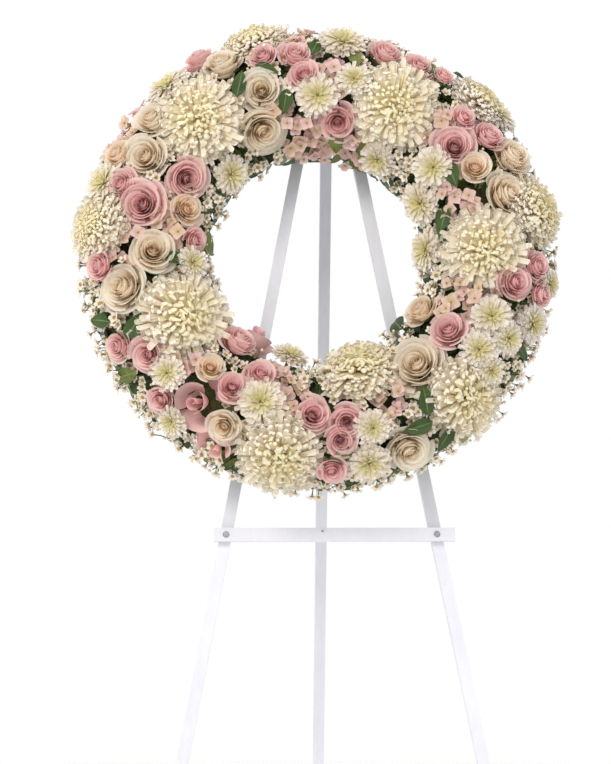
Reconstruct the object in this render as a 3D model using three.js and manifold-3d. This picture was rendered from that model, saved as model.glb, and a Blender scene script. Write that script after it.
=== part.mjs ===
// A funeral wreath of fresh flowers, hung on a folding easel of white painted laths.
//
// Millimetres, +Z up. The wreath faces -Y. Both the wreath and the easel's two front legs lie in one
// leaning plane, so their meshes share a group whose own axes are x to the right, y up the slope and
// z out towards the viewer, with z = 0 on the front face of the legs.

import * as THREE from 'three';
import { mergeVertices } from 'three/addons/utils/BufferGeometryUtils.js';
import Module from 'manifold-3d';

const manifold = await Module();
manifold.setup();
const { Manifold, Mesh: ManifoldMesh } = manifold;

// ---------------------------------------------------------------- driving dimensions

const GAP = 0.3;                                   // clearance between pieces that touch

const LEAN = THREE.MathUtils.degToRad(12);         // front legs lean back from upright
const BACK_LEG_SPREAD = THREE.MathUtils.degToRad(30);   // angle between front and back legs

const LEG_WIDTH = 14;
const LEG_DEPTH = 18;
const LEG_LENGTH = 1226;                           // measured up the slope, before the feet are cut
const LEG_APEX = 1264;                             // where the two centre lines would meet
const LEG_SPLAY = 0.192;                           // sideways run per millimetre of slope

const CROSSBAR_LENGTH = 290;
const CROSSBAR_HEIGHT = 16;
const CROSSBAR_THICKNESS = 9;
const CROSSBAR_SLOPE_HEIGHT = 602;
const CROSSBAR_OFFSET = 4;                         // its longer end is on the right

const SCREW_RADIUS = 2;
const SCREW_HEAD_RADIUS = 4;
const SCREW_HEAD_HEIGHT = 2;
const SCREW_BITE = 12;                             // how far a screw goes into a leg

const PLATE_WIDTH = 58;
const PLATE_HEIGHT = 56;
const PLATE_THICKNESS = 3;
const PIVOT_SLOPE_HEIGHT = 1150;
const PIVOT_BEHIND_PLATE = 14;
const EAR_THICKNESS = 3;
const EAR_RADIUS = 9;
const PIN_RADIUS = 3;
const PIN_HEAD_RADIUS = 5.5;

const HOOK_WIRE_RADIUS = 1.8;
const HOOK_SLOPE_HEIGHT = 1186;
const HOOK_REACH = 12;
const HOOK_RISE = 10;
const HOOK_BITE = 14;

const RING_RADIUS = 205;                           // centre of the ring's section
const RING_CORE_DEPTH = 30;                        // from the legs to the centre of the section
const RING_SEGMENTS = 28;
const WREATH_SLOPE_HEIGHT = 930;
const TRAY_HALF_WIDTH = 38;
const TRAY_RIM_HEIGHT = 13;
const TRAY_WALL = 2;
const FOAM_SHOULDER_HEIGHT = 22;
const FOAM_HEIGHT = 54;
const HANGING_WIRE_RADIUS = 1.2;
const NOTCH_WIDTH = 36;
const NOTCH_DEPTH = 18;

// The greenery's section from its outer to its inner edge: distance from the section's centre line
// and depth. Its crown stays under the blooms, and its skirts reach out behind them.
const BED_OUTLINE = [
  [46, 0.6], [82, 7], [91, 26], [70, 46], [44, 62], [22, 76], [0, 82],
  [-22, 76], [-44, 62], [-66, 48], [-87, 30], [-78, 9], [-46, 0.6],
];

const FACE_DISTANCE = 102;                         // from the section's centre to a bloom's face
const STEM_TIP_DISTANCE = 12;                      // where a stem ends inside the foam
const FORK_DISTANCE = 28;                          // where a spray's stem branches
const STEM_RADIUS = 3;
const SOCKET_SIDES = 6;

// ---------------------------------------------------------------- kinds of bloom

// A head's outline runs from its stem over the rim to its heart, as parts of its width and depth.
const BLOOM_KINDS = {
  mum: {
    depthRatio: 0.42,
    segments: 12,
    scallops: 6,
    scallopDepth: 0.05,
    outline: [[0.16, 0.02], [0.46, 0.36], [0.5, 0.58], [0.36, 0.9], [0.14, 1], [0, 0.93]],
  },
  rose: {
    depthRatio: 0.66,
    segments: 10,
    scallops: 5,
    scallopDepth: 0.06,
    outline: [[0.14, 0.02], [0.4, 0.26], [0.5, 0.62], [0.42, 0.88], [0.24, 0.92], [0, 1]],
  },
  sprayMum: {
    depthRatio: 0.5,
    segments: 10,
    scallops: 5,
    scallopDepth: 0.05,
    outline: [[0.14, 0.02], [0.46, 0.45], [0.48, 0.68], [0.3, 0.95], [0, 0.92]],
  },
};

// Where each bloom sits as seen level from in front, where the lean shortens the wreath's height:
// degrees clockwise from the top, distance of its face from the wreath's centre, and width. Blooms
// listed together branch from one stem.
const LARGE_MUMS = [
  [[28, 195, 104]],
  [[48, 283, 80]],
  [[80, 279, 86]],
  [[90, 195, 102]],
  [[136, 257, 94]],
  [[162, 143, 96]],
  [[191, 258, 100]],
  [[244, 173, 108]],
  [[276, 276, 86]],
  [[318, 215, 106]],
  [[344, 281, 82]],
];

const CREAM_ROSES = [
  [[63, 214, 42]],
  [[74, 240, 58], [65, 273, 50]],
  [[122, 135, 42]],
  [[139, 176, 70]],
  [[156, 275, 56]],
  [[208, 247, 44]],
  [[258, 241, 58]],
  [[269, 196, 54]],
  [[299, 241, 54], [308, 262, 48]],
  [[333, 260, 50]],
  [[335, 151, 58]],
  [[341, 206, 54]],
];

const PINK_ROSES = [
  [[9, 146, 46]],
  [[19, 260, 44], [29, 262, 40], [36, 266, 26]],
  [[53, 207, 52], [57, 251, 42], [48, 238, 32]],
  [[95, 271, 38], [100, 240, 46], [102, 280, 34]],
  [[123, 181, 48]],
  [[171, 208, 46], [183, 198, 48], [174, 235, 40]],
  [[205, 163, 38], [212, 197, 38]],
  [[220, 139, 48]],
  [[238, 245, 44], [243, 274, 38]],
  [[265, 268, 40]],
  [[285, 219, 60], [288, 254, 44]],
  [[299, 174, 52]],
  [[329, 285, 44]],
  [[353, 241, 44], [345, 249, 36], [356, 211, 40]],
];

const SPRAY_MUMS = [
  [[7, 262, 56], [12, 208, 42]],
  [[55, 164, 48], [67, 127, 50]],
  [[92, 122, 50]],
  [[123, 228, 46], [112, 223, 48], [116, 254, 40]],
  [[167, 270, 50], [164, 225, 42]],
  [[201, 197, 56]],
  [[287, 276, 54]],
];

// ---------------------------------------------------------------- materials

const FINISHES = {
  paintedWood: { color: 0xeceaf0, roughness: 0.55, metalness: 0 },
  steel: { color: 0xb8babd, roughness: 0.4, metalness: 0.9 },
  trayPlastic: { color: 0x2f4a36, roughness: 0.6, metalness: 0 },
  foam: { color: 0x4c7a4a, roughness: 0.95, metalness: 0 },
  greenery: { color: 0x55653a, roughness: 0.8, metalness: 0 },
  mumPetals: { color: 0xf3ecd2, roughness: 0.7, metalness: 0 },
  creamPetals: { color: 0xf2dcbc, roughness: 0.7, metalness: 0 },
  pinkPetals: { color: 0xe4b4b6, roughness: 0.7, metalness: 0 },
  sprayPetals: { color: 0xf0eadb, roughness: 0.7, metalness: 0 },
};

function meshOf(name, geometry, finish) {
  const mesh = new THREE.Mesh(geometry, new THREE.MeshStandardMaterial(FINISHES[finish]));
  mesh.name = name;
  return mesh;
}

// ---------------------------------------------------------------- solids that join and cut

/** Merges a closed geometry's vertices and drops triangles that collapse, as at a lathe's poles. */
function mergedCopy(geometry) {
  const copy = geometry.clone();
  copy.deleteAttribute('normal');
  copy.deleteAttribute('uv');
  const merged = mergeVertices(copy, 1e-3);
  const corners = merged.index.array;
  const kept = [];
  for (let i = 0; i < corners.length; i += 3) {
    const [a, b, c] = [corners[i], corners[i + 1], corners[i + 2]];
    if (a !== b && b !== c && c !== a) kept.push(a, b, c);
  }
  merged.setIndex(kept);
  return merged;
}

function solidOf(geometry) {
  const merged = mergedCopy(geometry);
  return new Manifold(new ManifoldMesh({
    numProp: 3,
    vertProperties: new Float32Array(merged.attributes.position.array),
    triVerts: new Uint32Array(merged.index.array),
  }));
}

function geometryOf(solid) {
  const { vertProperties, triVerts } = solid.getMesh();
  const geometry = new THREE.BufferGeometry();
  geometry.setAttribute('position', new THREE.BufferAttribute(vertProperties, 3));
  geometry.setIndex(new THREE.BufferAttribute(triVerts, 1));
  geometry.computeVertexNormals();
  return geometry;
}

/** The biggest piece that is left when cutting has parted a solid. */
function mainPiece(solid) {
  const pieces = solid.decompose();
  return pieces.reduce((best, piece) => (piece.volume() > best.volume() ? piece : best));
}

function joined(solids) {
  return solids.reduce((sum, solid) => sum.add(solid));
}

function boxesMeet(a, b) {
  const [boxA, boxB] = [a.boundingBox(), b.boundingBox()];
  return [0, 1, 2].every((k) => boxA.min[k] < boxB.max[k] && boxB.min[k] < boxA.max[k]);
}

function cutBy(solid, cutters) {
  return cutters.filter((cutter) => boxesMeet(solid, cutter))
    .reduce((rest, cutter) => rest.subtract(cutter), solid);
}

// ---------------------------------------------------------------- plain shapes

function box(width, height, depth, x, y, z) {
  return new THREE.BoxGeometry(width, height, depth).translate(x, y, z);
}

/** A round bar from one point to another. */
function bar(from, to, radiusFrom, radiusTo, sides) {
  const along = new THREE.Vector3().subVectors(to, from);
  const geometry = new THREE.CylinderGeometry(radiusTo, radiusFrom, along.length(), sides);
  geometry.translate(0, along.length() / 2, 0);
  const turn = new THREE.Quaternion().setFromUnitVectors(
    new THREE.Vector3(0, 1, 0), along.normalize());
  return geometry.applyQuaternion(turn).translate(from.x, from.y, from.z);
}

/** A screw whose head's underside is at `at`, pointing along -z, or +z when `flip` is -1. */
function screwSolid(at, length, clearance = 0, flip = 1) {
  const up = new THREE.Vector3(0, 0, flip);
  const tip = at.clone().addScaledVector(up, -length - clearance);
  const top = at.clone().addScaledVector(up, SCREW_HEAD_HEIGHT);
  const shank = bar(tip, at.clone().addScaledVector(up, 1),
    SCREW_RADIUS + clearance, SCREW_RADIUS + clearance, 8);
  const head = bar(at, top, SCREW_HEAD_RADIUS, SCREW_HEAD_RADIUS * 0.7, 10);
  return clearance > 0 ? solidOf(shank) : solidOf(shank).add(solidOf(head));
}

function sweptWire(points, radius, sides, steps) {
  const section = new THREE.Shape();
  for (let k = 0; k < sides; k += 1) {
    const angle = (2 * Math.PI * k) / sides;
    const [x, y] = [radius * Math.cos(angle), radius * Math.sin(angle)];
    if (k === 0) section.moveTo(x, y);
    else section.lineTo(x, y);
  }
  section.closePath();
  const path = new THREE.CatmullRomCurve3(points, false, 'centripetal');
  return new THREE.ExtrudeGeometry(section, { steps, bevelEnabled: false, extrudePath: path });
}

// ---------------------------------------------------------------- easel

const legX = (slopeHeight) => (LEG_APEX - slopeHeight) * LEG_SPLAY;

const PLATE_BACK = -LEG_DEPTH - GAP - PLATE_THICKNESS;
const PIVOT_DEPTH = PLATE_BACK - PIVOT_BEHIND_PLATE;
const HOOK_X = -legX(HOOK_SLOPE_HEIGHT);
const WREATH_X = HOOK_X - 2;

/** The floor's solid as seen in a group that leans or stands at the given place. */
function floorSolid(group) {
  group.updateMatrixWorld(true);
  const toGroup = group.matrixWorld.clone().invert();
  return solidOf(box(1600, 2400, 300, 0, 0, -150).applyMatrix4(toGroup));
}

/** One front leg, side -1 on the left or 1 on the right, running on below the floor. */
function frontLegBlank(side) {
  const lean = Math.atan(LEG_SPLAY) * side;
  const length = LEG_LENGTH / Math.cos(lean);
  const extra = 30;
  const geometry = box(LEG_WIDTH, length + extra, LEG_DEPTH, 0, -(length + extra) / 2, -LEG_DEPTH / 2);
  geometry.rotateZ(lean).translate(legX(LEG_LENGTH) * side, LEG_LENGTH, 0);
  const topTrim = box(200, 60, 60, 0, LEG_LENGTH + 30, -LEG_DEPTH / 2);
  const middleTrim = box(60, 400, 60, side * (GAP / 2 - 30), LEG_LENGTH - 100, -LEG_DEPTH / 2);
  return solidOf(geometry).subtract(solidOf(topTrim)).subtract(solidOf(middleTrim));
}

function crossbarScrews(clearance) {
  return [-1, 1].map((side) => screwSolid(
    new THREE.Vector3(side * legX(CROSSBAR_SLOPE_HEIGHT), CROSSBAR_SLOPE_HEIGHT,
      GAP + CROSSBAR_THICKNESS + (clearance > 0 ? 0 : GAP)),
    CROSSBAR_THICKNESS + GAP + SCREW_BITE, clearance));
}

function crossbarNail(clearance) {
  const at = new THREE.Vector3(-11, CROSSBAR_SLOPE_HEIGHT + 4, GAP + CROSSBAR_THICKNESS + 3);
  const tip = at.clone().setZ(3 - clearance);
  return solidOf(bar(tip, at, 1 + clearance, 1 + clearance, 6));
}

function plateScrews(clearance) {
  const height = PIVOT_SLOPE_HEIGHT + 14;
  return [-1, 1].map((side) => screwSolid(
    new THREE.Vector3(side * (legX(height) + 2), height, PLATE_BACK - (clearance > 0 ? 0 : GAP)),
    PLATE_THICKNESS + GAP + SCREW_BITE - 2, clearance, -1));
}

/** The steel plate that ties the two front legs and carries the back leg's pin in two ears. */
function hingePlateSolid() {
  const low = PIVOT_SLOPE_HEIGHT - PLATE_HEIGHT / 2;
  const plate = solidOf(box(PLATE_WIDTH, PLATE_HEIGHT, PLATE_THICKNESS,
    0, low + PLATE_HEIGHT / 2, PLATE_BACK + PLATE_THICKNESS / 2));
  const ears = [-1, 1].map((side) => {
    const shape = new THREE.Shape();
    shape.moveTo(0.5, -EAR_RADIUS);
    shape.lineTo(-PIVOT_BEHIND_PLATE, -EAR_RADIUS);
    shape.absarc(-PIVOT_BEHIND_PLATE, 0, EAR_RADIUS, -Math.PI / 2, Math.PI / 2, true);
    shape.lineTo(0.5, EAR_RADIUS);
    shape.closePath();
    const ear = new THREE.ExtrudeGeometry(shape, {
      depth: EAR_THICKNESS, bevelEnabled: false, curveSegments: 6,
    });
    // Drawn as depth across and height up, then turned so that its thickness runs along x.
    ear.rotateY(-Math.PI / 2);
    const inner = LEG_WIDTH / 2 + 2 * GAP;
    ear.translate(side > 0 ? inner + EAR_THICKNESS : -inner, PIVOT_SLOPE_HEIGHT, PLATE_BACK);
    return solidOf(ear);
  });
  return joined([plate, ...ears]).subtract(pinSolid(GAP));
}

function pinSolid(clearance) {
  const half = LEG_WIDTH / 2 + 2 * GAP + EAR_THICKNESS + 2;
  const end = (x) => new THREE.Vector3(x, PIVOT_SLOPE_HEIGHT, PIVOT_DEPTH);
  const shank = solidOf(bar(end(-half), end(half), PIN_RADIUS + clearance, PIN_RADIUS + clearance, 12));
  if (clearance > 0) return shank;
  const heads = [-1, 1].map((side) => solidOf(
    bar(end(side * (half - 1.5)), end(side * (half + 1)), PIN_HEAD_RADIUS, PIN_HEAD_RADIUS, 12)));
  return joined([shank, ...heads]);
}

/** The back leg in its own frame: origin on the pin, y up the leg, z to the front. */
function backLegSolid(group) {
  const half = LEG_DEPTH / 2;
  const stop = PIVOT_BEHIND_PLATE - GAP;
  const top = 20;
  // The slanted end bears on the plate when the leg is open, and is what stops it there.
  const slantAt = (y) => (stop - y * Math.sin(BACK_LEG_SPREAD)) / Math.cos(BACK_LEG_SPREAD);
  const slantHeight = (stop - half * Math.cos(BACK_LEG_SPREAD)) / Math.sin(BACK_LEG_SPREAD);
  const shape = new THREE.Shape();
  shape.moveTo(-half, top);
  shape.lineTo(slantAt(top), top);
  shape.lineTo(half, slantHeight);
  shape.lineTo(half, -LEG_LENGTH);
  shape.lineTo(-half, -LEG_LENGTH);
  shape.closePath();
  const geometry = new THREE.ExtrudeGeometry(shape, { depth: LEG_WIDTH, bevelEnabled: false });
  geometry.translate(0, 0, -LEG_WIDTH / 2).rotateY(-Math.PI / 2);
  const hole = bar(new THREE.Vector3(-20, 0, 0), new THREE.Vector3(20, 0, 0),
    PIN_RADIUS + GAP, PIN_RADIUS + GAP, 12);
  return solidOf(geometry).subtract(solidOf(hole)).subtract(floorSolid(group));
}

function hookPoints(clearance) {
  const at = (y, z) => new THREE.Vector3(HOOK_X, HOOK_SLOPE_HEIGHT + y, z);
  if (clearance > 0) return [at(0, -HOOK_BITE - clearance), at(0, -1), at(0, HOOK_REACH / 2)];
  return [at(0, -HOOK_BITE), at(0, -1), at(0, HOOK_REACH - 4), at(1.2, HOOK_REACH - 1),
    at(4.5, HOOK_REACH), at(HOOK_RISE, HOOK_REACH)];
}

function hookSolid(clearance = 0) {
  return solidOf(sweptWire(hookPoints(clearance), HOOK_WIRE_RADIUS + clearance, 8, 12));
}

function addEaselFront(slope) {
  const floor = floorSolid(slope);
  const legHoles = [...crossbarScrews(GAP), ...plateScrews(GAP), hookSolid(GAP)];
  for (const [name, side] of [['easel_leg_left', -1], ['easel_leg_right', 1]]) {
    const leg = cutBy(frontLegBlank(side).subtract(floor), legHoles);
    slope.add(meshOf(name, geometryOf(leg), 'paintedWood'));
  }
  const crossbar = cutBy(
    solidOf(box(CROSSBAR_LENGTH, CROSSBAR_HEIGHT, CROSSBAR_THICKNESS,
      CROSSBAR_OFFSET, CROSSBAR_SLOPE_HEIGHT, GAP + CROSSBAR_THICKNESS / 2)),
    [...crossbarScrews(GAP), crossbarNail(GAP)]);
  slope.add(meshOf('easel_crossbar', geometryOf(crossbar), 'paintedWood'));
  const [leftScrew, rightScrew] = crossbarScrews(0);
  slope.add(meshOf('crossbar_screw_left', geometryOf(leftScrew), 'steel'));
  slope.add(meshOf('crossbar_screw_right', geometryOf(rightScrew), 'steel'));
  slope.add(meshOf('crossbar_nail', geometryOf(crossbarNail(0)), 'steel'));
  slope.add(meshOf('wreath_hook', geometryOf(hookSolid()), 'steel'));
}

function addEaselHinge(slope) {
  const plate = cutBy(hingePlateSolid(), plateScrews(GAP));
  slope.add(meshOf('hinge_plate', geometryOf(plate), 'steel'));
  const [leftScrew, rightScrew] = plateScrews(0);
  slope.add(meshOf('hinge_screw_left', geometryOf(leftScrew), 'steel'));
  slope.add(meshOf('hinge_screw_right', geometryOf(rightScrew), 'steel'));
  slope.add(meshOf('hinge_pin', geometryOf(pinSolid(0)), 'steel'));
}

function addBackLeg(slope) {
  const leg = new THREE.Group();
  leg.position.set(0, PIVOT_SLOPE_HEIGHT, PIVOT_DEPTH);
  leg.rotation.x = BACK_LEG_SPREAD;
  slope.add(leg);
  leg.add(meshOf('easel_leg_back', geometryOf(backLegSolid(leg)), 'paintedWood'));
}

// ---------------------------------------------------------------- wreath base

/** Turns a closed section, given as [distance from the centre, depth], round the wreath. */
function ringGeometry(section) {
  const points = section.map(([radius, depth]) => new THREE.Vector2(radius, depth));
  points.push(points[0].clone());
  return new THREE.LatheGeometry(points, RING_SEGMENTS).rotateX(Math.PI / 2);
}

/** Points along the top of an arched section, from its inner to its outer side. */
function arch(halfWidth, springDepth, topDepth, count) {
  const points = [];
  for (let k = 0; k <= count; k += 1) {
    const angle = (Math.PI * k) / count;
    points.push([RING_RADIUS - halfWidth * Math.cos(angle),
      springDepth + (topDepth - springDepth) * Math.sin(angle)]);
  }
  return points;
}

function traySolid() {
  const [inner, outer] = [RING_RADIUS - TRAY_HALF_WIDTH, RING_RADIUS + TRAY_HALF_WIDTH];
  const [back, floor, rim] = [GAP, GAP + TRAY_WALL, TRAY_RIM_HEIGHT];
  return solidOf(ringGeometry([
    [inner, back], [outer, back], [outer, rim], [outer - TRAY_WALL, rim],
    [outer - TRAY_WALL, floor], [inner + TRAY_WALL, floor], [inner + TRAY_WALL, rim], [inner, rim],
  ]));
}

function foamSolid() {
  const halfWidth = TRAY_HALF_WIDTH - TRAY_WALL - GAP;
  const back = 2 * GAP + TRAY_WALL;
  const top = arch(halfWidth, FOAM_SHOULDER_HEIGHT, FOAM_HEIGHT, 5).reverse();
  return solidOf(ringGeometry([
    [RING_RADIUS - halfWidth, back], [RING_RADIUS + halfWidth, back], ...top,
  ]));
}

/** The collar of leaves and small filler flowers: a crown over the foam and a skirt each side. */
function bedSolid() {
  const innerHalf = TRAY_HALF_WIDTH + GAP;
  const back = 2 * GAP;
  const foamSide = arch(innerHalf, FOAM_SHOULDER_HEIGHT, FOAM_HEIGHT + 1, 5);
  return solidOf(ringGeometry([
    ...BED_OUTLINE.map(([across, depth]) => [RING_RADIUS + across, depth]),
    [RING_RADIUS - innerHalf, back], ...foamSide, [RING_RADIUS + innerHalf, back],
  ]));
}

/** A wire staple through the tray's back whose loop goes over the easel's hook. */
function hangingWireSolid(clearance = 0) {
  const hookHeight = HOOK_SLOPE_HEIGHT - WREATH_SLOPE_HEIGHT;
  const hookSide = HOOK_X - WREATH_X;
  const rest = hookHeight + HOOK_WIRE_RADIUS + HANGING_WIRE_RADIUS + GAP;
  const eye = RING_RADIUS + TRAY_HALF_WIDTH - 8;
  const points = [
    new THREE.Vector3(hookSide - 13, eye, 7), new THREE.Vector3(hookSide - 13, eye + 2, 13),
    new THREE.Vector3(hookSide - 12, eye + 11, 15), new THREE.Vector3(hookSide - 7, rest - 7, 9),
    new THREE.Vector3(hookSide, rest, 6), new THREE.Vector3(hookSide + 7, rest - 7, 9),
    new THREE.Vector3(hookSide + 12, eye + 11, 15), new THREE.Vector3(hookSide + 13, eye + 2, 13),
    new THREE.Vector3(hookSide + 13, eye, 7),
  ];
  return solidOf(sweptWire(points, HANGING_WIRE_RADIUS + clearance, 6, 20));
}

/** The gap in the greenery, open at the back, that lets the wire reach the hook. */
function hookNotch() {
  const low = RING_RADIUS + TRAY_HALF_WIDTH - 3;
  const height = 60;
  return solidOf(box(NOTCH_WIDTH, height, 2 * NOTCH_DEPTH, HOOK_X - WREATH_X, low + height / 2, 0));
}

// ---------------------------------------------------------------- blooms

/** How far a face at this distance from the wreath's centre leans out, or in when negative. */
function tiltOf(reach) {
  return Math.asin(THREE.MathUtils.clamp((reach - RING_RADIUS) / FACE_DISTANCE, -0.95, 0.95));
}

/** The centre of the ring's section where a bloom stands, and the way its face looks. */
function seatOf([clock, seenReach]) {
  const seenAngle = THREE.MathUtils.degToRad(clock);
  const drop = FACE_DISTANCE * (1 - Math.cos(tiltOf(seenReach))) * Math.sin(LEAN);
  const x = seenReach * Math.sin(seenAngle);
  const y = (seenReach * Math.cos(seenAngle) + drop) / Math.cos(LEAN);
  const outward = new THREE.Vector3(x, y, 0).normalize();
  const tilt = tiltOf(Math.hypot(x, y));
  const core = outward.clone().multiplyScalar(RING_RADIUS).setZ(RING_CORE_DEPTH);
  const facing = outward.multiplyScalar(Math.sin(tilt)).setZ(Math.cos(tilt));
  return { core, facing };
}

/** Draws a lathed head's rim in and out, so that it reads as petals. */
function scallop(geometry, count, depth) {
  const position = geometry.attributes.position;
  for (let i = 0; i < position.count; i += 1) {
    const [x, y] = [position.getX(i), position.getY(i)];
    const scale = 1 + depth * Math.cos(count * Math.atan2(y, x));
    position.setXY(i, x * scale, y * scale);
  }
  return geometry;
}

/** A head on a stem that tapers to a point at `root`, with the middle of its face at `face`. */
function bloomOnStem(kind, width, root, face, clearance) {
  const along = new THREE.Vector3().subVectors(face, root);
  const depth = width * kind.depthRatio;
  const base = along.length() - depth - clearance;
  const points = [new THREE.Vector2(0, -clearance),
    new THREE.Vector2(STEM_RADIUS + clearance, base - 1)];
  for (const [across, up] of kind.outline) {
    const radius = across === 0 ? 0 : across * width + clearance;
    points.push(new THREE.Vector2(radius, base + up * (depth + 2 * clearance)));
  }
  const geometry = new THREE.LatheGeometry(points, kind.segments).rotateX(Math.PI / 2);
  scallop(geometry, kind.scallops, kind.scallopDepth);
  const turn = new THREE.Quaternion().setFromUnitVectors(
    new THREE.Vector3(0, 0, 1), along.normalize());
  return solidOf(geometry.applyQuaternion(turn).translate(root.x, root.y, root.z));
}

/** Where a stem's tip, its root and its blooms' faces are; a spray's root is where it branches. */
function layoutOf(places) {
  const seats = places.map(seatOf);
  const { core, facing } = seats[0];
  const tip = core.clone().addScaledVector(facing, STEM_TIP_DISTANCE);
  const fork = core.clone().addScaledVector(facing, FORK_DISTANCE);
  const faces = seats.map((seat) => seat.core.clone().addScaledVector(seat.facing, FACE_DISTANCE));
  return { tip, root: places.length === 1 ? tip : fork, faces };
}

/** The part of a spray's stem below the place where it branches. */
function sharedStem({ tip, root }, clearance, sides) {
  const end = root.clone().addScaledVector(new THREE.Vector3().subVectors(root, tip).normalize(), 4);
  return solidOf(bar(tip, end, 1 + clearance, 2 + clearance, sides));
}

/** One bloom on its own stem, or several that branch from one stem. */
function bloomSolid(kind, places, clearance = 0) {
  const layout = layoutOf(places);
  const blooms = layout.faces.map((face, k) => (
    bloomOnStem(kind, places[k][2], layout.root, face, clearance)));
  if (places.length === 1) return blooms[0];
  return joined([sharedStem(layout, clearance, 5), ...blooms]);
}

/** The socket that a stem takes in the foam and the greenery; a spray's flares where it branches. */
function socketSolid(places) {
  const layout = layoutOf(places);
  const { tip, root, faces } = layout;
  const ways = faces.map((face) => new THREE.Vector3().subVectors(face, root).normalize());
  const middle = ways.reduce((sum, way) => sum.add(way), new THREE.Vector3()).normalize();
  const widest = Math.max(...ways.map((way) => Math.tan(way.angleTo(middle))));
  const reach = FACE_DISTANCE / 2;
  const narrow = (STEM_RADIUS + 2 * GAP) / Math.cos(Math.PI / SOCKET_SIDES);
  const wide = narrow * (1 + widest) + widest * reach / Math.cos(Math.PI / SOCKET_SIDES);
  const start = root.clone().addScaledVector(middle, -2 * GAP);
  const end = root.clone().addScaledVector(middle, reach);
  const opening = solidOf(bar(start, end, narrow, wide, SOCKET_SIDES));
  return places.length === 1 ? opening : opening.add(sharedStem({ tip, root }, 3 * GAP, 5));
}

const BLOOM_SETS = [
  ['mum', BLOOM_KINDS.mum, LARGE_MUMS, 'mumPetals'],
  ['cream_rose', BLOOM_KINDS.rose, CREAM_ROSES, 'creamPetals'],
  ['pink_rose', BLOOM_KINDS.rose, PINK_ROSES, 'pinkPetals'],
  ['spray_mum', BLOOM_KINDS.sprayMum, SPRAY_MUMS, 'sprayPetals'],
];

/** Adds every bloom, each one pressed in where an earlier one already stands. */
function addBlooms(wreath) {
  const cutters = [];
  for (const [name, kind, sprays, finish] of BLOOM_SETS) {
    sprays.forEach((places, k) => {
      const solid = mainPiece(cutBy(bloomSolid(kind, places), cutters));
      wreath.add(meshOf(`${name}_${k + 1}`, geometryOf(solid), finish));
      cutters.push(bloomSolid(kind, places, GAP));
    });
  }
}

function addWreath(slope) {
  const wreath = new THREE.Group();
  wreath.position.set(WREATH_X, WREATH_SLOPE_HEIGHT, 0);
  slope.add(wreath);
  addBlooms(wreath);
  const wireCutter = hangingWireSolid(GAP);
  const sockets = BLOOM_SETS.flatMap(([, , sprays]) => sprays.map(socketSolid));
  const tray = traySolid().subtract(wireCutter);
  const foam = cutBy(foamSolid(), [...sockets, wireCutter]);
  const bed = cutBy(bedSolid(), [...sockets, wireCutter, hookNotch()]);
  wreath.add(meshOf('ring_tray', geometryOf(mainPiece(tray)), 'trayPlastic'));
  wreath.add(meshOf('foam_ring', geometryOf(mainPiece(foam)), 'foam'));
  wreath.add(meshOf('greenery_bed', geometryOf(mainPiece(bed)), 'greenery'));
  wreath.add(meshOf('hanging_wire', geometryOf(hangingWireSolid()), 'steel'));
}

// ---------------------------------------------------------------- the whole part

const part = new THREE.Group();
const slope = new THREE.Group();
slope.rotation.x = Math.PI / 2 - LEAN;
part.add(slope);

addEaselFront(slope);
addEaselHinge(slope);
addBackLeg(slope);
addWreath(slope);

// The origin is on the floor, under the middle of the whole part.
const whole = new THREE.Box3().setFromObject(part, true);
part.position.set(-(whole.min.x + whole.max.x) / 2, -(whole.min.y + whole.max.y) / 2, 0);

export default part;
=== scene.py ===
import math

import bpy
import numpy as np
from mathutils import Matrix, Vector


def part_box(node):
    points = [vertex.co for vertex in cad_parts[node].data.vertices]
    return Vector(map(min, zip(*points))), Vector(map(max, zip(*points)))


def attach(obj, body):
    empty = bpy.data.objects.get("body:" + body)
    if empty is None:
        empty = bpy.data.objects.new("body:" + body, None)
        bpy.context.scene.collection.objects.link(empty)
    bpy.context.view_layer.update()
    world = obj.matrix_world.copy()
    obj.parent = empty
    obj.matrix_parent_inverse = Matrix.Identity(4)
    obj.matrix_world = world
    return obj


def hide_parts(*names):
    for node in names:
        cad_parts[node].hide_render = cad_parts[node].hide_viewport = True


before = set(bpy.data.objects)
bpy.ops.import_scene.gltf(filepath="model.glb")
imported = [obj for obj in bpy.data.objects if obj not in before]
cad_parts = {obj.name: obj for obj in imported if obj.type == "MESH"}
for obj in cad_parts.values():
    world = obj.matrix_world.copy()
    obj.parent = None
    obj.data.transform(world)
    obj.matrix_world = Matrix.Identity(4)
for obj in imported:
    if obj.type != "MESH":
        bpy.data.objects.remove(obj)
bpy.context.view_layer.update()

MM = 0.001
GOLDEN_ANGLE = math.radians(137.508)
FULL_TURN = 6.28

# ---------------------------------------------------------------- the wreath's own frame

LEAN = math.radians(12)
RING_RADIUS = 205                # centre of the ring's section
CORE_DEPTH = 30                  # from the easel's legs to the centre of the section
FACE_DISTANCE = 102              # from the section's centre to a bloom's face
TRAY_MID_DEPTH = 6.65            # from the legs to the middle of the tray's box
BACK_DEPTH = 1.5                 # how near the legs a leaf may come
STEM_END = 26                    # how near the section's centre a stem reaches
STEEPEST = 0.95                  # sine of the most that a bloom leans over

WREATH_AXES = np.array([
    [1.0, 0.0, 0.0],
    [0.0, math.sin(LEAN), -math.cos(LEAN)],
    [0.0, math.cos(LEAN), math.sin(LEAN)],
])
TRAY_LOW, TRAY_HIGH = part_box("ring_tray")
WREATH_CENTRE = (np.array(TRAY_LOW) + np.array(TRAY_HIGH)) / 2 - WREATH_AXES[:, 2] * TRAY_MID_DEPTH * MM


def unit(vector):
    return vector / np.linalg.norm(vector)


def section(clock):
    """The outward way, the way round the ring and the section's centre, clockwise from the top."""
    angle = math.radians(clock)
    outward = np.array([math.sin(angle), math.cos(angle), 0.0])
    around = np.array([math.cos(angle), -math.sin(angle), 0.0])
    return outward, around, outward * RING_RADIUS + np.array([0, 0, CORE_DEPTH])


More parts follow.
